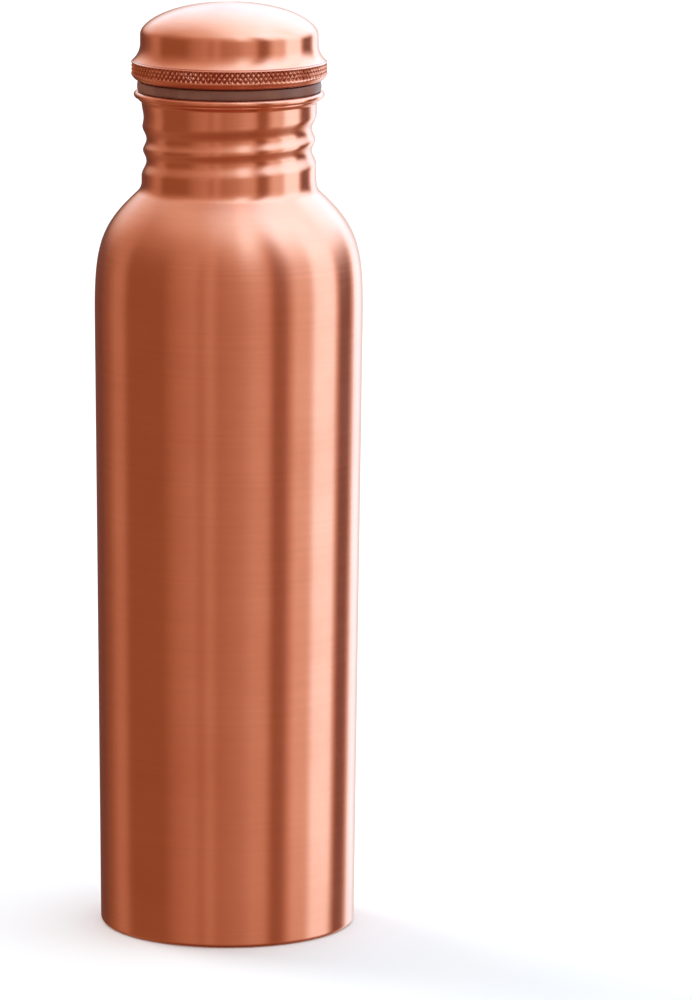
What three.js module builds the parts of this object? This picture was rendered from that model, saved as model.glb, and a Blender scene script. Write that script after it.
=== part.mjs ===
// A one-litre copper water bottle with a screw cap, in millimetres, +Z up.
// The bottle stands on z = 0 with its axis on the Z axis. It comes apart into a spun body shell with a
// rolled-in screw thread, a pressed base plate, and a cap made of an outer shell, a threaded plug whose
// flange is trapped in the shell's curled hem, and a loose silicone gasket.

import * as THREE from "three";

// ---- Driving dimensions ----

const SEGMENTS = 40; // facets round the axis
const WALL = 0.6; // sheet thickness of the body, its base plate and the cap shell
const PLUG_WALL = 0.5;

// Body shell: a slightly tapered tube, a shoulder and a straight neck.
const FOOT_R = 37.3;
const FOOT_CORNER_R = 1.2;
const FOOT_HEM_INNER_R = 34.4;
const SHOULDER_R = 38.97;
const SHOULDER_Z = 182;
const SHOULDER_PULLS = [ // control points of the shoulder's curve, as [radius, height]
  [38.97, 200.9],
  [37, 206.45],
];
const SHOULDER_END = [26.7, 216];
const NECK_R = 25.35;
const NECK_FOOT_Z = 219.2;

// Rolled lip round the mouth: a main bead with a thinner fold under it.
const LIP_TOP_Z = 245.5;
const LIP_BEAD_R = 0.95;
const LIP_BEAD_CENTRE_R = 26.65;
const FOLD_BEAD_R = 0.6;
const FOLD_BEAD_CENTRE = [25.7, 243.35];
const LIP_FOOT_Z = 242.2;
const LIP_FLAT_R = 25.3;

// Screw thread: a right-handed groove rolled into the neck, and the same form on the plug. Turns are
// counted along the groove from the point where it passes the front of the bottle.
const PITCH = 6.35;
const THREAD_DEPTH = 1.4;
const GROOVE_WIDTH = 8.6; // wider than the pitch, so neighbouring turns blend
const GROOVE_FRONT_Z = 233.1;
const NECK_GROOVE_TURNS = [-1.85, 0.95]; // where the groove starts and ends
const PLUG_GROOVE_TURNS = [-3, 1.4];
const GROOVE_FADE = 0.45; // turns over which it runs out at either end
const THREAD_ROW = 1.05; // height of one row of facets on the thread

// Base plate: a shallow inverted pan that stands on the hem inside the foot.
const BASE_PLATE_R = 36.25;
const BASE_PLATE_BOTTOM_Z = 0.9;
const BASE_PLATE_TOP_Z = 4.6;
const BASE_PLATE_CORNER_R = 1.4;
const BASE_PLATE_FLAT_R = 31.5;
const BASE_PLATE_CROWN = 1;

// Cap shell: dome, straight side, cove, grip band and curled hem.
const CAP_TOP_Z = 271.1;
const DOME_PULLS = [ // control points of the dome's curve, as [radius, height]
  [21.8, 267.9],
  [12.4, 271.1],
];
const CAP_SIDE_R = 25.78;
const CAP_CORNER_R = 3.4;
const CAP_CORNER_Z = 261.7; // centre height of the rounded corner under the dome
const CAP_CORNER_TURN = 38; // degrees
const COVE_TOP_Z = 259.3;
const COVE_R = 6.5;
const COVE_TURN = 50; // degrees the wall turns outwards between the straight side and the band
const BAND_R = 28.35;
const BAND_CURL_Z = 250.5; // centre height of the curl under the band
const BAND_CURL_R = 2;
const CAP_HEM_INNER_R = 24.9;

// Threaded plug: a drawn cup, open at the top, with a flange.
const PLUG_BOTTOM_Z = 222.5;
const PLUG_R = 24.3;
const PLUG_NOSE_TOP_Z = 225; // the thread grows out of the nose from here
const PLUG_FULL_THREAD_Z = 228.5;
const PLUG_THREAD_TOP_Z = 242;
const PLUG_CORNER_R = 2;
const FLANGE_R = 26.6;
const FLANGE_BOTTOM_Z = 249.4;

// Gasket between the lip and the cap's hem.
const GASKET_R = 26.7;
const GASKET_HOLE_R = 24.65;
const GASKET_EDGE_R = 0.7;
const SEAT_GAP = 0.2; // clearance at each face of the gasket

// ---- Materials ----

const copper = new THREE.MeshStandardMaterial({ color: 0xc9754f, roughness: 0.32, metalness: 1 });
const baseCopper = new THREE.MeshStandardMaterial({ color: 0xb96a49, roughness: 0.4, metalness: 1 });
const capCopper = new THREE.MeshStandardMaterial({ color: 0xd0805c, roughness: 0.3, metalness: 1 });
const plugCopper = new THREE.MeshStandardMaterial({ color: 0xbf7050, roughness: 0.38, metalness: 1 });
const silicone = new THREE.MeshStandardMaterial({ color: 0xb9aaa0, roughness: 0.55, metalness: 0 });

// ---- Outlines: lists of [radius, height] ----

// An arc round (r, z) from one angle to another in degrees, with 0 pointing outwards and 90 up.
function arc(r, z, radius, from, to, steps) {
  const points = [];
  for (let i = 0; i <= steps; i++) {
    const angle = THREE.MathUtils.degToRad(from + ((to - from) * i) / steps);
    points.push([r + radius * Math.cos(angle), z + radius * Math.sin(angle)]);
  }
  return points;
}

// A smooth curve from the first control point to the last.
function curve(controls, steps) {
  const points = controls.map((p) => new THREE.Vector2(...p));
  const path = controls.length === 4
    ? new THREE.CubicBezierCurve(...points)
    : new THREE.QuadraticBezierCurve(...points);
  return path.getPoints(steps).map((p) => [p.x, p.y]);
}

// Heights from one z to another in rows close enough together to hold the thread.
function threadRows(from, to) {
  const steps = Math.ceil((to - from) / THREAD_ROW);
  return Array.from({ length: steps + 1 }, (_, i) => from + ((to - from) * i) / steps);
}

// The other face of a sheet: every point of an outer outline that runs upwards, moved in by the
// sheet's thickness.
function innerFace(outline, thickness) {
  return outline.map(([r, z], i) => {
    const [r0, z0] = outline[Math.max(i - 1, 0)];
    const [r1, z1] = outline[Math.min(i + 1, outline.length - 1)];
    const length = Math.hypot(r1 - r0, z1 - z0);
    return [r - (thickness * (z1 - z0)) / length, z + (thickness * (r1 - r0)) / length];
  });
}

// Sweeps an outline round the Z axis, with the material on its left. It closes on itself, or starts
// and ends on the axis.
function turned(outline) {
  const onAxis = outline[0][0] === 0;
  const loop = onAxis ? outline : [...outline, outline[0]];
  const points = loop.map(([r, z]) => new THREE.Vector2(r, z));
  const geometry = new THREE.LatheGeometry(points, SEGMENTS);
  geometry.rotateX(Math.PI / 2);
  return geometry;
}

// ---- Screw thread ----

// How far in the sheet is rolled at an angle and a height, from 0 to 1. Neighbouring turns blend.
function grooveShare(angle, z, [first, last]) {
  const turnHere = (angle + Math.PI / 2) / (2 * Math.PI);
  const nearest = turnHere + Math.round((z - GROOVE_FRONT_Z) / PITCH - turnHere);
  let untouched = 1;
  for (const turn of [nearest - 1, nearest, nearest + 1]) {
    const offset = z - (GROOVE_FRONT_Z + PITCH * turn);
    if (Math.abs(offset) >= GROOVE_WIDTH / 2) continue;
    const section = 0.5 + 0.5 * Math.cos((2 * Math.PI * offset) / GROOVE_WIDTH);
    const runIn = THREE.MathUtils.smoothstep(turn, first, first + GROOVE_FADE);
    const runOut = 1 - THREE.MathUtils.smoothstep(turn, last - GROOVE_FADE, last);
    untouched *= 1 - section * runIn * runOut;
  }
  return 1 - untouched;
}

// Rolls the groove into the sheet between two heights: both faces of the sheet move in together.
// `depthAt` gives the groove's full depth at a height.
function rollThread(geometry, bottom, top, turns, depthAt) {
  const position = geometry.getAttribute("position");
  const innermost = PLUG_R - THREAD_DEPTH - 1.5 * PLUG_WALL;
  for (let i = 0; i < position.count; i++) {
    const [x, y, z] = [position.getX(i), position.getY(i), position.getZ(i)];
    const radius = Math.hypot(x, y);
    if (z < bottom || z > top || radius < innermost) continue;
    const pressed = depthAt(z) * grooveShare(Math.atan2(y, x), z, turns);
    const scale = (radius - pressed) / radius;
    position.setXY(i, x * scale, y * scale);
  }
  return geometry;
}

// ---- Body shell ----

function bodyShell() {
  const [endR, endZ] = SHOULDER_END;
  const [pullR, pullZ] = SHOULDER_PULLS[1];
  const meetZ = endZ + ((NECK_R - endR) * (endZ - pullZ)) / (endR - pullR);
  const shoulder = curve([[SHOULDER_R, SHOULDER_Z], ...SHOULDER_PULLS, SHOULDER_END], 7);
  const fillet = curve([SHOULDER_END, [NECK_R, meetZ], [NECK_R, NECK_FOOT_Z]], 3);
  const side = [
    ...shoulder,
    ...fillet.slice(1),
    ...threadRows(NECK_FOOT_Z, LIP_FOOT_Z).slice(1).map((z) => [NECK_R, z]),
  ];
  const footR = FOOT_R - FOOT_CORNER_R;
  const hem = [[FOOT_HEM_INNER_R, 0], ...arc(footR, FOOT_CORNER_R, FOOT_CORNER_R, -90, 0, 3)];
  const [foldR, foldZ] = FOLD_BEAD_CENTRE;
  const outside = [
    ...hem,
    ...side,
    ...arc(foldR, foldZ, FOLD_BEAD_R, -45, 45, 2),
    ...arc(LIP_BEAD_CENTRE_R, LIP_TOP_Z - LIP_BEAD_R, LIP_BEAD_R, -60, 90, 5),
    [LIP_FLAT_R, LIP_TOP_Z],
    [NECK_R - WALL, LIP_TOP_Z - WALL],
  ];
  const inside = innerFace([...hem, ...side], WALL).reverse();
  const shell = turned([...outside, ...inside]);
  return rollThread(shell, NECK_FOOT_Z, LIP_FOOT_Z, NECK_GROOVE_TURNS, () => THREAD_DEPTH);
}

// ---- Base plate ----

function basePlate() {
  const cornerR = BASE_PLATE_R - BASE_PLATE_CORNER_R;
  const cornerZ = BASE_PLATE_TOP_Z - BASE_PLATE_CORNER_R;
  const crownZ = BASE_PLATE_TOP_Z + BASE_PLATE_CROWN;
  return turned([
    [0, crownZ - WALL],
    [BASE_PLATE_FLAT_R, BASE_PLATE_TOP_Z - WALL],
    ...arc(cornerR, cornerZ, BASE_PLATE_CORNER_R - WALL, 90, 0, 2),
    [BASE_PLATE_R - WALL, BASE_PLATE_BOTTOM_Z],
    [BASE_PLATE_R, BASE_PLATE_BOTTOM_Z],
    ...arc(cornerR, cornerZ, BASE_PLATE_CORNER_R, 0, 90, 3),
    [BASE_PLATE_FLAT_R, BASE_PLATE_TOP_Z],
    [0, crownZ],
  ]);
}

// ---- Cap shell ----

// One face of the cap's sheet, up from the hem's lowest line to the top of the dome.
function capFace(inset) {
  const cornerR = CAP_SIDE_R - CAP_CORNER_R;
  const corner = arc(cornerR, CAP_CORNER_Z, CAP_CORNER_R, 0, CAP_CORNER_TURN, 3);
  const dome = curve([corner.at(-1), ...DOME_PULLS, [0, CAP_TOP_Z]], 7);
  const cove = arc(CAP_SIDE_R + COVE_R, COVE_TOP_Z, COVE_R + inset, 180 + COVE_TURN, 180, 4);
  const coveSlope = 1 / Math.tan(THREE.MathUtils.degToRad(COVE_TURN));
  const [coveFootR, coveFootZ] = cove[0];
  const bandR = BAND_R - inset;
  return [
    ...arc(BAND_R - BAND_CURL_R, BAND_CURL_Z, BAND_CURL_R - inset, -90, 0, 4),
    [bandR, coveFootZ - (bandR - coveFootR) * coveSlope],
    ...cove,
    ...arc(cornerR, CAP_CORNER_Z, CAP_CORNER_R - inset, 0, CAP_CORNER_TURN, 3),
    ...innerFace(dome, inset).slice(1, -1),
    [0, CAP_TOP_Z - inset],
  ];
}

function capShell() {
  const hemBottomZ = BAND_CURL_Z - BAND_CURL_R;
  const hemEdge = [
    [CAP_HEM_INNER_R, hemBottomZ + WALL],
    [CAP_HEM_INNER_R, hemBottomZ],
  ];
  return turned([...capFace(WALL).reverse(), ...hemEdge, ...capFace(0)]);
}

// ---- Threaded plug ----

// Height of the thread above the plug's nose, rising smoothly as the plug widens.
function plugThreadDepth(z) {
  return THREAD_DEPTH * THREE.MathUtils.smoothstep(z, PLUG_NOSE_TOP_Z, PLUG_FULL_THREAD_Z);
}

// One face of the plug's sheet, up from the middle of its bottom to the top of the thread.
function plugFace(inset) {
  const noseR = PLUG_R - THREAD_DEPTH;
  const cornerZ = PLUG_BOTTOM_Z + PLUG_CORNER_R;
  return [
    [0, PLUG_BOTTOM_Z + inset],
    ...arc(noseR - PLUG_CORNER_R, cornerZ, PLUG_CORNER_R - inset, -90, 0, 3),
    ...threadRows(PLUG_NOSE_TOP_Z, PLUG_THREAD_TOP_Z).map((z) => [noseR + plugThreadDepth(z) - inset, z]),
  ];
}

function threadedPlug() {
  const flangeTopZ = FLANGE_BOTTOM_Z + PLUG_WALL;
  const flange = [
    [PLUG_R, FLANGE_BOTTOM_Z],
    [FLANGE_R, FLANGE_BOTTOM_Z],
    [FLANGE_R, flangeTopZ],
    [PLUG_R - PLUG_WALL, flangeTopZ],
  ];
  const plug = turned([...plugFace(0), ...flange, ...plugFace(PLUG_WALL).reverse()]);
  return rollThread(plug, PLUG_NOSE_TOP_Z, PLUG_THREAD_TOP_Z, PLUG_GROOVE_TURNS, plugThreadDepth);
}

// ---- Gasket ----

function gasket() {
  const bottomZ = LIP_TOP_Z + SEAT_GAP;
  const topZ = BAND_CURL_Z - BAND_CURL_R - SEAT_GAP;
  const edgeR = GASKET_R - GASKET_EDGE_R;
  return turned([
    [GASKET_HOLE_R, bottomZ],
    ...arc(edgeR, bottomZ + GASKET_EDGE_R, GASKET_EDGE_R, -90, 0, 3),
    ...arc(edgeR, topZ - GASKET_EDGE_R, GASKET_EDGE_R, 0, 90, 3),
    [GASKET_HOLE_R, topZ],
  ]);
}

// ---- Assembly ----

function group(...parts) {
  const holder = new THREE.Group();
  for (const [name, geometry, material] of parts) {
    const mesh = new THREE.Mesh(geometry, material);
    mesh.name = name;
    holder.add(mesh);
  }
  return holder;
}

const assembly = new THREE.Group();
assembly.add(group(
  ["body_shell", bodyShell(), copper],
  ["base_plate", basePlate(), baseCopper],
));
assembly.add(group(
  ["cap_shell", capShell(), capCopper],
  ["threaded_plug", threadedPlug(), plugCopper],
  ["gasket", gasket(), silicone],
));

export default assembly;
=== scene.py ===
"""The looks of a copper water bottle: fine meshes for its five parts, brushed copper, silicone, a studio.

Lengths are in metres in the frame of the CAD solids: +Z up along the bottle's axis, the viewer at -Y.
"""

import math
from math import cos, pi, sin

import bpy
from mathutils import Matrix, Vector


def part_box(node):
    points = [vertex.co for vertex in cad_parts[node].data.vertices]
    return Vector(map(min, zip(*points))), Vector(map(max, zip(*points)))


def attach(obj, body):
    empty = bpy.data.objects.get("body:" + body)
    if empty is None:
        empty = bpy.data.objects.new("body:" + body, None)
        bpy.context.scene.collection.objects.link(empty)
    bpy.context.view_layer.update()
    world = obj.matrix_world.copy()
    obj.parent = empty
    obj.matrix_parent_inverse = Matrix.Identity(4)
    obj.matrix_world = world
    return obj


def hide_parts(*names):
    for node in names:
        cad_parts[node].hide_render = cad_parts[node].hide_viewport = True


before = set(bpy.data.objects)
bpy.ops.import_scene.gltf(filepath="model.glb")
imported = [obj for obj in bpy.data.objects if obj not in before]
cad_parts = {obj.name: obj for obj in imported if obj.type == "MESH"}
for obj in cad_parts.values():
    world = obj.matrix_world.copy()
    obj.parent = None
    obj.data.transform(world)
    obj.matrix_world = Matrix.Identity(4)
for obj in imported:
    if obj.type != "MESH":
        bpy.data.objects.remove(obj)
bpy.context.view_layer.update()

MM = 0.001

# ---- Sizes ----------------------------------------------------------------------------------------------

# Read from the solids: each part's outer radius and its lowest and highest level.


def size_of(node):
    low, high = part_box(node)
    return high.x, low.z, high.z


shoulder_r, foot_z, lip_z = size_of("body_shell")
plate_r, plate_z, plate_top_z = size_of("base_plate")
band_r, hem_z, cap_top_z = size_of("cap_shell")
flange_r, plug_z, flange_top_z = size_of("threaded_plug")
gasket_r, _, _ = size_of("gasket")

WALL = 0.6 * MM
PLUG_WALL = 0.5 * MM

# Body shell
FOOT_R = 37.3 * MM
FOOT_CORNER_R = 1.2 * MM
FOOT_HEM_INNER_R = 34.4 * MM
NECK_R = 25.35 * MM
SHOULDER_START_Z = 182 * MM
SHOULDER_PULLS = [(38.97 * MM, 200.9 * MM), (37 * MM, 206.45 * MM)]
SHOULDER_END = (26.7 * MM, 216 * MM)
NECK_FOOT_Z = 219.2 * MM
LIP_BEAD_R = 0.95 * MM
LIP_BEAD_CENTRE_R = 26.65 * MM
FOLD_BEAD_R = 0.6 * MM
FOLD_BEAD_CENTRE = (25.7 * MM, lip_z - 2.15 * MM)
LIP_FOOT_Z = lip_z - 3.3 * MM

# Screw thread
PITCH = 6.35 * MM
THREAD_DEPTH = 1.4 * MM
GROOVE_WIDTH = 8.6 * MM  # wider than the pitch, so neighbouring turns blend
GROOVE_FRONT_Z = 233.1 * MM
NECK_GROOVE_TURNS = (-1.85, 0.95)
PLUG_GROOVE_TURNS = (-3, 1.4)
GROOVE_FADE = 0.45

# Cap
DOME_PULLS = [(21.8 * MM, cap_top_z - 3.2 * MM), (12.4 * MM, cap_top_z)]
CAP_SIDE_R = 25.78 * MM
CAP_CORNER_R = 3.4 * MM
CAP_CORNER_Z = cap_top_z - 9.4 * MM  # centre height of the rounded corner under the dome
CAP_CORNER_TURN = 38  # degrees
COVE_R = 6.5 * MM
COVE_TURN = 51  # degrees the wall turns outwards between the straight side and the band
COVE_TOP_Z = cap_top_z - 11.8 * MM
CURL_R = 3.2 * MM
CURL_START = -22  # degrees: the band meets the curl at an edge
HEM_INNER_R = 24.9 * MM
KNURL_COUNT = 116
KNURL_DEPTH = 0.48 * MM
KNURL_ROWS = 3
KNURL_STEPS = 4  # facets along each side of a diamond's box

# Plug
PLUG_R = 24.3 * MM
PLUG_NOSE_TOP_Z = plug_z + 2.5 * MM
PLUG_FULL_THREAD_Z = plug_z + 6 * MM
PLUG_THREAD_TOP_Z = plug_z + 19.5 * MM
PLUG_CORNER_R = 2 * MM


# ---- Outlines: lists of (radius, height) ----------------------------------------------------------------


def arc(r, z, radius, start, end, steps):
    """Points round (r, z), from one angle to another in degrees: 0 points outwards and 90 up."""
    angles = [math.radians(start + (end - start) * i / steps) for i in range(steps + 1)]
    return [(r + radius * cos(a), z + radius * sin(a)) for a in angles]


def bezier(controls, steps):
    """A smooth curve from the first control point to the last."""
    points = []
    for i in range(steps + 1):
        t = i / steps
        row = controls
        while len(row) > 1:
            row = [
                (a[0] + (b[0] - a[0]) * t, a[1] + (b[1] - a[1]) * t)
                for a, b in zip(row, row[1:])
            ]
        points.append(row[0])
    return points


def straight(start, end, steps):
    """Evenly spaced points on a straight line."""
    return bezier([start, end], steps)


def inner_face(outline, thickness):
    """The other face of a sheet whose outer face runs upwards."""
    last = len(outline) - 1
    points = []
    for i, (r, z) in enumerate(outline):
        r0, z0 = outline[max(i - 1, 0)]
        r1, z1 = outline[min(i + 1, last)]
        length = math.hypot(r1 - r0, z1 - z0)
        points.append((r - thickness * (z1 - z0) / length, z + thickness * (r1 - r0) / length))
    return points


# ---- Meshes ---------------------------------------------------------------------------------------------


def smoothstep(value, start, end):
    t = min(max((value - start) / (end - start), 0), 1)
    return t * t * (3 - 2 * t)


def turned(name, outline, segments, radius_at=None, sharp=()):
    """Sweeps a closed outline round the Z axis, the material on its left.

    radius_at(angle, r, z) moves a point in or out. Rows of faces whose first point's index is in sharp
    are shaded flat, and their quads are split along the flatter diagonal.
    """
    vertices = []
    rows = []
    for r, z in outline:
        if r < 1e-9:
            rows.append([len(vertices)] * segments)
            vertices.append((0, 0, z))
            continue
        rows.append(range(len(vertices), len(vertices) + segments))
        for k in range(segments):
            angle = 2 * pi * k / segments - pi / 2
            radius = radius_at(angle, r, z) if radius_at else r
            vertices.append((radius * cos(angle), radius * sin(angle), z))
    faces = []
    flat = []
    ends_on_axis = outline[0][0] < 1e-9
    for i in range(len(rows) - 1 if ends_on_axis else len(rows)):
        low, high = rows[i], rows[(i + 1) % len(rows)]
        for k in range(segments):
            k1 = (k + 1) % segments
            corners = (low[k], low[k1], high[k1], high[k])
            if i in sharp:
                a, b, c, d = corners
                radii = [math.hypot(*vertices[v][:2]) for v in corners]
                first_way = abs(radii[0] - radii[2]) <= abs(radii[1] - radii[3])
                faces += [(a, b, c), (a, c, d)] if first_way else [(a, b, d), (b, c, d)]
                flat += [True, True]
            else:
                faces.append(tuple(dict.fromkeys(corners)))
                flat.append(False)
    mesh = bpy.data.meshes.new(name)
    mesh.from_pydata(vertices, [], faces)
    mesh.polygons.foreach_set("use_smooth", [not f for f in flat])
    mesh.update()
    piece = bpy.data.objects.new(name, mesh)
    bpy.context.scene.collection.objects.link(piece)
    return piece


def groove_share(angle, z, turns):
    """How far in the sheet is rolled at a place, from 0 to 1. Neighbouring turns blend."""
    first, last = turns
    turn_here = (angle + pi / 2) / (2 * pi)
    nearest = turn_here + round((z - GROOVE_FRONT_Z) / PITCH - turn_here)
    untouched = 1
    for turn in (nearest - 1, nearest, nearest + 1):
        offset = z - (GROOVE_FRONT_Z + PITCH * turn)
        if abs(offset) >= GROOVE_WIDTH / 2:
            continue
        section = 0.5 + 0.5 * cos(2 * pi * offset / GROOVE_WIDTH)
        run_in = smoothstep(turn, first, first + GROOVE_FADE)
        run_out = 1 - smoothstep(turn, last - GROOVE_FADE, last)
        untouched *= 1 - section * run_in * run_out
    return 1 - untouched


# ---- Body shell -----------------------------------------------------------------------------------------


def body_shell():
    end_r, end_z = SHOULDER_END
    pull_r, pull_z = SHOULDER_PULLS[1]
    meet_z = end_z + (NECK_R - end_r) * (end_z - pull_z) / (end_r - pull_r)
    hem = [(FOOT_HEM_INNER_R, foot_z)]
    hem += arc(FOOT_R - FOOT_CORNER_R, foot_z + FOOT_CORNER_R, FOOT_CORNER_R, -90, 0, 8)
    side = straight(hem[-1], (shoulder_r, SHOULDER_START_Z), 12)[1:]
    side += bezier([side[-1], *SHOULDER_PULLS, SHOULDER_END], 30)[1:]
    side += bezier([SHOULDER_END, (NECK_R, meet_z), (NECK_R, NECK_FOOT_Z)], 10)[1:]
    side += straight(side[-1], (NECK_R, LIP_FOOT_Z), 84)[1:]
    lip = arc(*FOLD_BEAD_CENTRE, FOLD_BEAD_R, -70, 60, 8)
    lip += arc(LIP_BEAD_CENTRE_R, lip_z - LIP_BEAD_R, LIP_BEAD_R, -130, 90, 20)
    mouth = bezier([lip[-1], (NECK_R - WALL, lip_z), (NECK_R - WALL, lip_z - 1.5 * MM)], 6)[1:]
    inside = inner_face(hem + side, WALL)[::-1]

    def rolled(angle, r, z):
        if not NECK_FOOT_Z < z < LIP_FOOT_Z:
            return r
        return r - THREAD_DEPTH * groove_share(angle, z, NECK_GROOVE_TURNS)

    return turned("bottle_body", hem + side + lip + mouth + inside, 256, rolled)


# ---- Base plate -----------------------------------------------------------------------------------------


def base_plate():
    corner_r = 1.4 * MM
    flat_r = plate_r - 5 * MM
    rim_top_z = plate_top_z - 1 * MM
    side_r = plate_r - corner_r
    under = [(0, plate_top_z - WALL)]
    under += bezier(
        [(0, plate_top_z - WALL), (flat_r / 2, plate_top_z - WALL), (flat_r, rim_top_z - WALL)], 10
    )[1:]
    under += arc(side_r, rim_top_z - corner_r, corner_r - WALL, 90, 0, 5)
    over = arc(side_r, rim_top_z - corner_r, corner_r, 0, 90, 6)
    over += bezier([(flat_r, rim_top_z), (flat_r / 2, plate_top_z), (0, plate_top_z)], 10)
    rim = [(plate_r - WALL, plate_z), (plate_r, plate_z)]
    return turned("bottle_base", under + rim + over, 192)


# ---- Cap shell ------------------------------------------------------------------------------------------


def knurl_height(angle, level):
    """Height of the diamond knurl, from 0 in a groove to 1 at a point. level counts rows of diamonds."""
    around = (angle + pi / 2) * KNURL_COUNT / (2 * pi)
    to_groove = [abs(w - round(w)) for w in (around + level, around - level)]
    return min(2 * min(to_groove), 0.94)


def cap_shell():
    curl_r = band_r - CURL_R * cos(math.radians(CURL_START))
    curl = arc(curl_r, hem_z + CURL_R, CURL_R, -90, CURL_START, 12)
    cove = arc(CAP_SIDE_R + COVE_R, COVE_TOP_Z, COVE_R, 180 + COVE_TURN, 180, 14)
    knurl_pitch = 2 * pi * band_r / KNURL_COUNT / math.tan(math.radians(36))
    knurl_top_z = cove[0][1] - 0.3 * MM
    knurl_foot_z = knurl_top_z - knurl_pitch / 2 * KNURL_ROWS
    row_steps = KNURL_ROWS * KNURL_STEPS // 2
    band = straight((band_r, knurl_foot_z), (band_r, knurl_top_z), row_steps)
    edge = bezier(
        [(band_r - 0.02 * MM, knurl_top_z + 0.04 * MM), (band_r, knurl_top_z + 0.15 * MM), cove[0]], 5
    )
    top = arc(CAP_SIDE_R - CAP_CORNER_R, CAP_CORNER_Z, CAP_CORNER_R, 0, CAP_CORNER_TURN, 12)
    dome = bezier([top[-1], *DOME_PULLS, (0, cap_top_z)], 28)[1:-1]
    plain = curl + edge + cove + top + dome
    outside = curl + band + edge + cove + top + dome + [(0, cap_top_z)]
    hem = bezier(
        [(HEM_INNER_R, hem_z + WALL), (HEM_INNER_R, hem_z), (HEM_INNER_R + 0.4 * MM, hem_z)], 5
    )
    inside = inner_face(plain, WALL)[::-1]
    outline = [(0, cap_top_z - WALL)] + inside + hem + outside
    first_band = len(outline) - len(outside) + len(curl)

    def knurled(angle, r, z):
        level = (z - band[0][1]) / knurl_pitch
        if r < band_r - 1e-9 or not -1e-6 < level < KNURL_ROWS / 2 + 1e-6:
            return r
        return r - KNURL_DEPTH * (1 - knurl_height(angle, level))

    sharp = range(first_band, first_band + row_steps)
    return turned("cap_outer_shell", outline, KNURL_COUNT * KNURL_STEPS, knurled, sharp)


# ---- Threaded plug --------------------------------------------------------------------------------------


def plug_depth(z):
    return THREAD_DEPTH * smoothstep(z, PLUG_NOSE_TOP_Z, PLUG_FULL_THREAD_Z)


def plug_face(inset):
    nose_r = PLUG_R - THREAD_DEPTH
    corner_z = plug_z + PLUG_CORNER_R
    face = straight((0, plug_z + inset), (nose_r - PLUG_CORNER_R, plug_z + inset), 6)[:-1]
    face += arc(nose_r - PLUG_CORNER_R, corner_z, PLUG_CORNER_R - inset, -90, 0, 8)
    levels = straight((0, PLUG_NOSE_TOP_Z), (0, PLUG_THREAD_TOP_Z), 56)
    return face + [(nose_r + plug_depth(z) - inset, z) for _, z in levels]


def threaded_plug():
    flange_z = flange_top_z - PLUG_WALL
    flange = bezier([(PLUG_R, flange_z - 1.5 * MM), (PLUG_R, flange_z), (PLUG_R + 1 * MM, flange_z)], 6)
    flange += [(flange_r, flange_z), (flange_r, flange_top_z)]
    flange += bezier(
        [
            (PLUG_R + 1 * MM, flange_top_z),
            (PLUG_R - PLUG_WALL, flange_top_z),
            (PLUG_R - PLUG_WALL, flange_z - 1.5 * MM),
        ],
        6,
    )

    def rolled(angle, r, z):
        if r < PLUG_R - THREAD_DEPTH - 1.5 * PLUG_WALL or not PLUG_NOSE_TOP_Z < z < PLUG_THREAD_TOP_Z:
            return r
        return r - plug_depth(z) * groove_share(angle, z, PLUG_GROOVE_TURNS)

    outline = plug_face(0) + flange + plug_face(PLUG_WALL)[::-1]
    return turned("cap_plug", outline, 192, rolled)


# ---- Gasket ---------------------------------------------------------------------------------------------


def gasket():
    squeeze = 0.05 * MM
    low, high = lip_z + squeeze, hem_z - squeeze
    hole_r = 24.65 * MM
    edge_r = 0.5 * MM
    outer = arc(gasket_r - 0.15 * MM - edge_r, low + edge_r, edge_r, -90, -20, 5)
    upper = arc(gasket_r - 0.15 * MM - edge_r, high - edge_r, edge_r, 20, 90, 5)
    belly = bezier([outer[-1], (gasket_r + 0.1 * MM, (low + high) / 2), upper[0]], 8)[1:-1]
    return turned("cap_gasket", [(hole_r, low)] + outer + belly + upper + [(hole_r, high)], 192)


# ---- Materials ------------------------------------------------------------------------------------------

COPPER = (0.93, 0.36, 0.23)
DEEP_COPPER = (0.80, 0.255, 0.145)
BASE_COPPER = (0.85, 0.315, 0.19)
DEEP_BASE_COPPER = (0.66, 0.21, 0.11)
PLUG_COPPER = (0.88, 0.335, 0.21)
# Painted shade at the bottoms of the knurl grooves.
GROOVE_SHADE_COPPER = (0.34, 0.067, 0.033)
SILICONE = (0.165, 0.055, 0.033)
PALE_SILICONE = (0.215, 0.078, 0.048)


class Nodes:
    """Makes and links the nodes of one material or world."""

    def __init__(self, owner):
        owner.use_nodes = True
        self.tree = owner.node_tree
        self.tree.nodes.clear()

    def add(self, kind, inputs=None, **settings):
        node = self.tree.nodes.new(kind)
        for key, value in settings.items():
            setattr(node, key, value)
        for key, value in (inputs or {}).items():
            if isinstance(value, bpy.types.NodeSocket):
                self.tree.links.new(value, node.inputs[key])
            else:
                node.inputs[key].default_value = value
        return node

    def math(self, operation, *values):
        node = self.add("ShaderNodeMath", dict(enumerate(values)), operation=operation)
        return node.outputs[0]

    def spread(self, value, low, high, to_low, to_high):
        """Moves a value from one range to another, held at the ends."""
        inputs = {0: value, 1: low, 2: high, 3: to_low, 4: to_high}
        return self.add("ShaderNodeMapRange", inputs).outputs[0]

    def noise(self, vector, scale, detail=2.0, roughness=0.5):
        inputs = {"Vector": vector, "Scale": scale, "Detail": detail, "Roughness": roughness}
        return self.add("ShaderNodeTexNoise", inputs).outputs[0]

    def blend(self, share, low, high):
        return self.add("ShaderNodeMix", {0: share, 2: low, 3: high}).outputs[0]

    def mix(self, share, low, high, blend="MIX"):
        inputs = {0: share, 6: low, 7: high}
        node = self.add("ShaderNodeMix", inputs, data_type="RGBA", blend_type=blend)
        return node.outputs[2]


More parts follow.
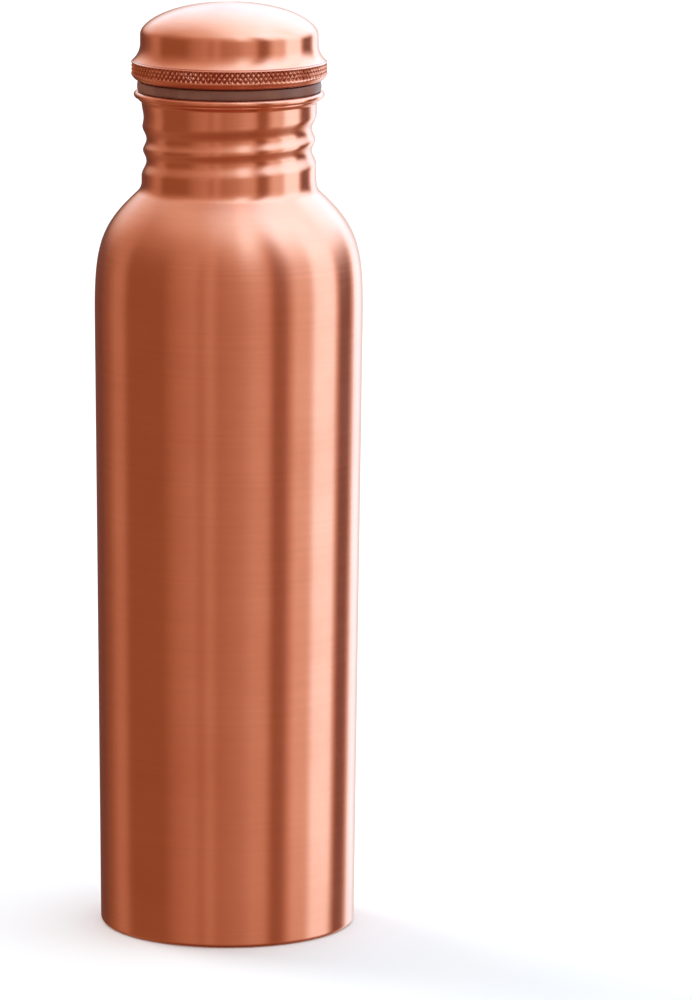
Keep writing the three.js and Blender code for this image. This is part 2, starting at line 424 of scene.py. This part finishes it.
def turned_place(n, place):
    """The radius of a point, and a vector maker for textures drawn out round the axis."""
    axes = n.add("ShaderNodeSeparateXYZ", {0: place}).outputs
    squares = [n.math("MULTIPLY", axes[i], axes[i]) for i in (0, 1)]
    radius = n.math("SQRT", n.math("ADD", *squares))
    safe_radius = n.math("MAXIMUM", radius, 0.1 * MM)
    turn = [n.math("DIVIDE", axes[i], safe_radius) for i in (0, 1)]
    along = n.math("SUBTRACT", axes[2], radius)

    def drawn_out(around, across):
        inputs = {
            0: n.math("MULTIPLY", turn[0], around),
            1: n.math("MULTIPLY", turn[1], around),
            2: n.math("MULTIPLY", along, across),
        }
        return n.add("ShaderNodeCombineXYZ", inputs).outputs[0]

    return radius, axes[2], drawn_out


def knurl_groove_shade(n, tone, radius, height):
    """Painted shade: darkens the grooves of the grip band, most at their bottoms, where shade falls."""
    above_curl = n.math("GREATER_THAN", height, hem_z + 1.9 * MM)
    on_band = n.math("GREATER_THAN", radius, band_r - KNURL_DEPTH - 0.02 * MM)
    depth = n.spread(radius, band_r - KNURL_DEPTH, band_r - 0.15 * KNURL_DEPTH, 0.92, 0.0)
    share = n.math("MULTIPLY", n.math("MULTIPLY", above_curl, on_band), depth)
    return n.mix(share, tone, (*GROOVE_SHADE_COPPER, 1))


def brushed_copper(name, colour, patina_and_foot_shade, roughness, anisotropy, knurl=False):
    """Copper brushed while it turned: fine lines run round the axis, over faint smudges and waviness."""
    material = bpy.data.materials.new(name)
    n = Nodes(material)
    place = n.add("ShaderNodeTexCoord").outputs["Object"]
    radius, height, drawn_out = turned_place(n, place)
    # One line of the brush is about 0.15 mm wide and runs a third of the way round.
    lines = n.noise(drawn_out(1.2, 6500), 1.0, 3.0, 0.6)
    bands = n.noise(drawn_out(0.8, 1100), 1.0, 2.0)
    smudges = n.noise(place, 38.0, 4.0, 0.55)
    waves = n.noise(place, 24.0, 1.0)

    tone = n.mix(n.spread(smudges, 0.42, 0.72, 0.0, 0.35), (*colour, 1), (*patina_and_foot_shade, 1))
    brush = n.math("ADD", n.math("MULTIPLY", lines, 0.6), n.math("MULTIPLY", bands, 0.4))
    line_tone = n.spread(brush, 0.3, 0.7, 0.91, 1.0)
    grey = n.add("ShaderNodeCombineColor", {0: line_tone, 1: line_tone, 2: line_tone}).outputs[0]
    tone = n.mix(1.0, tone, grey, "MULTIPLY")
    # Painted shade: the copper darkens towards the foot, standing in for the dim table that the lower body
    # mirrors.
    tone = n.mix(n.spread(height, foot_z, 110 * MM, 0.22, 0.0), tone, (*patina_and_foot_shade, 1))
    # Painted shade in the grooves of the grip band.
    if knurl:
        tone = knurl_groove_shade(n, tone, radius, height)

    line_roughness = n.spread(lines, 0.25, 0.75, roughness - 0.03, roughness + 0.03)
    rough = n.math("ADD", line_roughness, n.spread(smudges, 0.35, 0.7, 0.0, 0.03))
    relief = n.math("MULTIPLY", lines, 0.006 * MM)
    relief = n.math("ADD", relief, n.math("MULTIPLY", bands, 0.005 * MM))
    relief = n.math("ADD", relief, n.math("MULTIPLY", waves, 0.10 * MM))
    bump = n.add("ShaderNodeBump", {"Height": relief, "Strength": 1.0, "Distance": 1.0})
    tangent = n.add("ShaderNodeTangent", direction_type="RADIAL", axis="Z")
    shader = n.add("ShaderNodeBsdfPrincipled", {
        "Base Color": tone,
        "Metallic": 1.0,
        "Roughness": rough,
        "Anisotropic": anisotropy,
        "Anisotropic Rotation": 0.25,
        "Normal": bump.outputs[0],
        "Tangent": tangent.outputs[0],
    })
    n.add("ShaderNodeOutputMaterial", {"Surface": shader.outputs[0]})
    return material


def silicone(name):
    """Milky silicone rubber, a little dusty."""
    material = bpy.data.materials.new(name)
    n = Nodes(material)
    place = n.add("ShaderNodeTexCoord").outputs["Object"]
    cloud = n.noise(place, 160.0, 3.0)
    grain = n.noise(place, 2600.0, 2.0)
    tone = n.mix(n.spread(cloud, 0.35, 0.65, 0.0, 1.0), (*SILICONE, 1), (*PALE_SILICONE, 1))
    bump = n.add("ShaderNodeBump", {"Height": grain, "Strength": 0.4, "Distance": 0.02 * MM})
    shader = n.add("ShaderNodeBsdfPrincipled", {
        "Base Color": tone,
        "Roughness": n.spread(cloud, 0.3, 0.7, 0.30, 0.42),
        "Specular IOR Level": 0.35,
        "Subsurface Weight": 0.35,
        "Subsurface Radius": (1.0, 0.8, 0.7),
        "Subsurface Scale": 0.8 * MM,
        "Normal": bump.outputs[0],
    })
    n.add("ShaderNodeOutputMaterial", {"Surface": shader.outputs[0]})
    return material


def floor_paper():
    material = bpy.data.materials.new("floor_paper")
    n = Nodes(material)
    place = n.add("ShaderNodeTexCoord").outputs["Object"]
    tone = n.mix(n.noise(place, 3.0), (0.90, 0.90, 0.90, 1), (0.93, 0.93, 0.93, 1))
    shader = n.add("ShaderNodeBsdfPrincipled", {
        "Base Color": tone,
        "Roughness": 0.9,
        "Specular IOR Level": 0.1,
    })
    n.add("ShaderNodeOutputMaterial", {"Surface": shader.outputs[0]})
    return material


# ---- Studio: floor, light and camera --------------------------------------------------------------------

# Brightness of what the copper mirrors, round the horizon: soft panels with dark gaps between them. Each pair
# is an azimuth in degrees, 0 towards the viewer and 90 to the right, and a level.
LOW_RING = [
    (-180, 0.64), (-174, 0.09), (-145, 0.09), (-128, 0.17), (-114, 0.35), (-106, 0.35), (-96, 0.17),
    (-60, 0.17), (-46, 0.31), (-31, 0.40), (-24, 0.31), (-16, 0.45), (-8, 0.31), (12, 0.40),
    (23, 0.55), (33, 0.55), (41, 0.17), (50, 0.17), (57, 0.55), (61, 0.80), (75, 0.80),
    (82, 1.70), (103, 1.70), (108, 0.55), (113, 0.10), (128, 0.10), (134, 0.55), (140, 1.70),
    (150, 1.70), (164, 0.80), (180, 0.64),
]
# The same at 50 degrees above the horizon.
HIGH_RING = [
    (-180, 1.20), (-148, 1.20), (-130, 0.80), (-112, 0.45), (-36, 0.45), (-23, 0.55), (-8, 0.55),
    (6, 0.80), (17, 1.70), (27, 1.70), (38, 0.55), (48, 0.55), (58, 2.30), (104, 2.30),
    (113, 0.35), (128, 0.35), (138, 1.70), (150, 2.05), (170, 2.05), (180, 1.20),
]
TOP_LEFT, TOP_RIGHT = 0.93, 2.30
BACK_LEFT, BACK_RIGHT = 1.20, 2.30
BELOW = 0.22
DEEP_SHADE = 0.06
EVEN_LEFT = (0.26, 0.26, 0.26)
EVEN_RIGHT = (1.48, 1.48, 1.48)
# Dim parts of the room are warm and bright ones cool: a level and its colour.
TONES = [
    (0.00, (0, 0, 0)), (0.09, (0.155, 0.068, 0.049)), (0.17, (0.285, 0.147, 0.079)),
    (0.35, (0.47, 0.32, 0.23)), (0.55, (0.65, 0.53, 0.44)), (0.80, (0.81, 0.81, 0.77)),
    (1.20, (0.95, 1.24, 1.42)), (1.70, (1.25, 1.77, 2.15)), (2.40, (1.44, 2.42, 3.40)),
]


def ramp(n, position, stops):
    """Colours or levels at positions from 0 to 1."""
    node = n.add("ShaderNodeValToRGB", {0: position})
    elements = node.color_ramp.elements
    while len(elements) < len(stops):
        elements.new(1.0)
    for element, (place, value) in zip(elements, stops):
        element.position = place
        element.color = (*value, 1) if isinstance(value, tuple) else (value, value, value, 1)
    return node.outputs[0]


def ring(n, azimuth, levels):
    stops = [(degrees / 360 + 0.5, level) for degrees, level in levels]
    return ramp(n, n.math("ADD", n.math("DIVIDE", azimuth, 2 * pi), 0.5), stops)


def surround(n, axes):
    """The colour that the copper mirrors. The third axis is the sine of the height above the horizon."""
    azimuth = n.math("ARCTAN2", axes[0], n.math("MULTIPLY", axes[1], -1.0))
    raised = n.spread(axes[2], 0.22, 0.78, 0.0, 1.0)
    level = n.blend(raised, ring(n, azimuth, LOW_RING), ring(n, azimuth, HIGH_RING))
    overhead = n.spread(axes[2], 0.68, 0.98, 0.0, 1.0)
    level = n.blend(overhead, level, n.spread(axes[0], -0.30, 0.40, TOP_LEFT, TOP_RIGHT))
    behind = n.math("ADD", axes[1], n.math("MULTIPLY", axes[0], 0.4))
    behind = n.spread(behind, 0.08, 0.75, 0.0, 1.0)
    backdrop = n.math("MULTIPLY", behind, n.spread(axes[2], 0.06, 0.36, 0.0, 1.0))
    level = n.blend(backdrop, level, n.spread(axes[0], -0.45, -0.02, BACK_LEFT, BACK_RIGHT))
    level = n.blend(n.spread(axes[2], -0.62, -0.28, 1.0, 0.0), level, BELOW)
    level = n.blend(n.spread(axes[2], -1.0, -0.70, 1.0, 0.0), level, DEEP_SHADE)
    brightest = TONES[-1][0]
    stops = [(at / brightest, tone) for at, tone in TONES]
    return ramp(n, n.math("DIVIDE", level, brightest), stops)


def studio_world():
    """The surround for reflections, an even grey for matt surfaces and white for the camera."""
    world = bpy.data.worlds.new("studio")
    bpy.context.scene.world = world
    n = Nodes(world)
    direction = n.add("ShaderNodeTexCoord").outputs["Generated"]
    axes = n.add("ShaderNodeSeparateXYZ", {0: direction}).outputs
    path = n.add("ShaderNodeLightPath").outputs
    to_the_right = n.spread(axes[0], -1.0, 1.0, 0.0, 1.0)
    even = n.mix(to_the_right, (*EVEN_LEFT, 1), (*EVEN_RIGHT, 1))
    room = n.mix(path["Is Diffuse Ray"], surround(n, axes), even)
    room = n.mix(path["Is Camera Ray"], room, (1, 1, 1, 1))
    background = n.add("ShaderNodeBackground", {"Color": room, "Strength": 1.1})
    n.add("ShaderNodeOutputWorld", {"Surface": background.outputs[0]})


def studio_floor():
    half = 12.0
    corners = [(-half, -half, 0), (half, -half, 0), (half, half, 0), (-half, half, 0)]
    mesh = bpy.data.meshes.new("floor")
    mesh.from_pydata(corners, [], [(0, 1, 2, 3)])
    mesh.materials.append(floor_paper())
    floor = bpy.data.objects.new("floor", mesh)
    floor.location.z = foot_z - 0.1 * MM
    floor.visible_glossy = False
    bpy.context.scene.collection.objects.link(floor)


def sky_light(name, azimuth, elevation, strength, spread):
    """A soft far light, which the metal doesn't mirror. It comes from an azimuth and an elevation."""
    data = bpy.data.lights.new(name, "SUN")
    data.energy = strength
    data.angle = math.radians(spread)
    light = bpy.data.objects.new(name, data)
    turn = Matrix.Rotation(math.radians(azimuth), 4, "Z")
    tilt = Matrix.Rotation(math.radians(90 - elevation), 4, "X")
    light.matrix_world = turn @ tilt
    light.visible_glossy = False
    bpy.context.scene.collection.objects.link(light)


CAMERA_BACK = 1.870
CAMERA_HEIGHT = 0.4659
CAMERA_PITCH = 10.322
CAMERA_ROLL = 0.134
CAMERA_SHIFT = 0.1177  # the camera faces the bottle, which stands left of the middle of the picture
LENS = 234.25


def camera():
    data = bpy.data.cameras.new("camera")
    data.lens = LENS
    data.shift_x = CAMERA_SHIFT
    data.sensor_width = 36
    data.clip_start = 0.05
    data.clip_end = 60
    eye = bpy.data.objects.new("camera", data)
    place = Matrix.Translation((0, -CAMERA_BACK, CAMERA_HEIGHT))
    pitch = Matrix.Rotation(math.radians(90 - CAMERA_PITCH), 4, "X")
    roll = Matrix.Rotation(math.radians(CAMERA_ROLL), 4, "Z")
    eye.matrix_world = place @ pitch @ roll
    bpy.context.scene.collection.objects.link(eye)
    bpy.context.scene.camera = eye


# ---- The bottle -----------------------------------------------------------------------------------------

camera()
studio_world()
studio_floor()
sky_light("back_left_light", -132, 30, 1.7, 36)
sky_light("right_light", 86, 34, 0.15, 34)
bpy.context.scene.view_settings.view_transform = "Standard"

body_copper = brushed_copper("body_copper", COPPER, DEEP_COPPER, 0.20, 1.0)
base_copper = brushed_copper("base_copper", BASE_COPPER, DEEP_BASE_COPPER, 0.36, 0.7)
cap_copper = brushed_copper("cap_copper", COPPER, DEEP_COPPER, 0.20, 1.0, knurl=True)
plug_copper = brushed_copper("plug_copper", PLUG_COPPER, DEEP_COPPER, 0.34, 0.7)
milky_silicone = silicone("gasket_silicone")

# Each piece: what makes it, its material, the CAD node it stands for, its body and its material slot.
PIECES = [
    (body_shell, body_copper, "body_shell", "bottle", "body_copper"),
    (base_plate, base_copper, "base_plate", "bottle", "base_copper"),
    (cap_shell, cap_copper, "cap_shell", "cap", "cap_copper"),
    (threaded_plug, plug_copper, "threaded_plug", "cap", "plug_copper"),
    (gasket, milky_silicone, "gasket", "seal", "gasket_silicone"),
]
for make, material, node, body, slot in PIECES:
    piece = make()
    piece.data.materials.append(material)
    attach(piece, body)
    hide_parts(node)
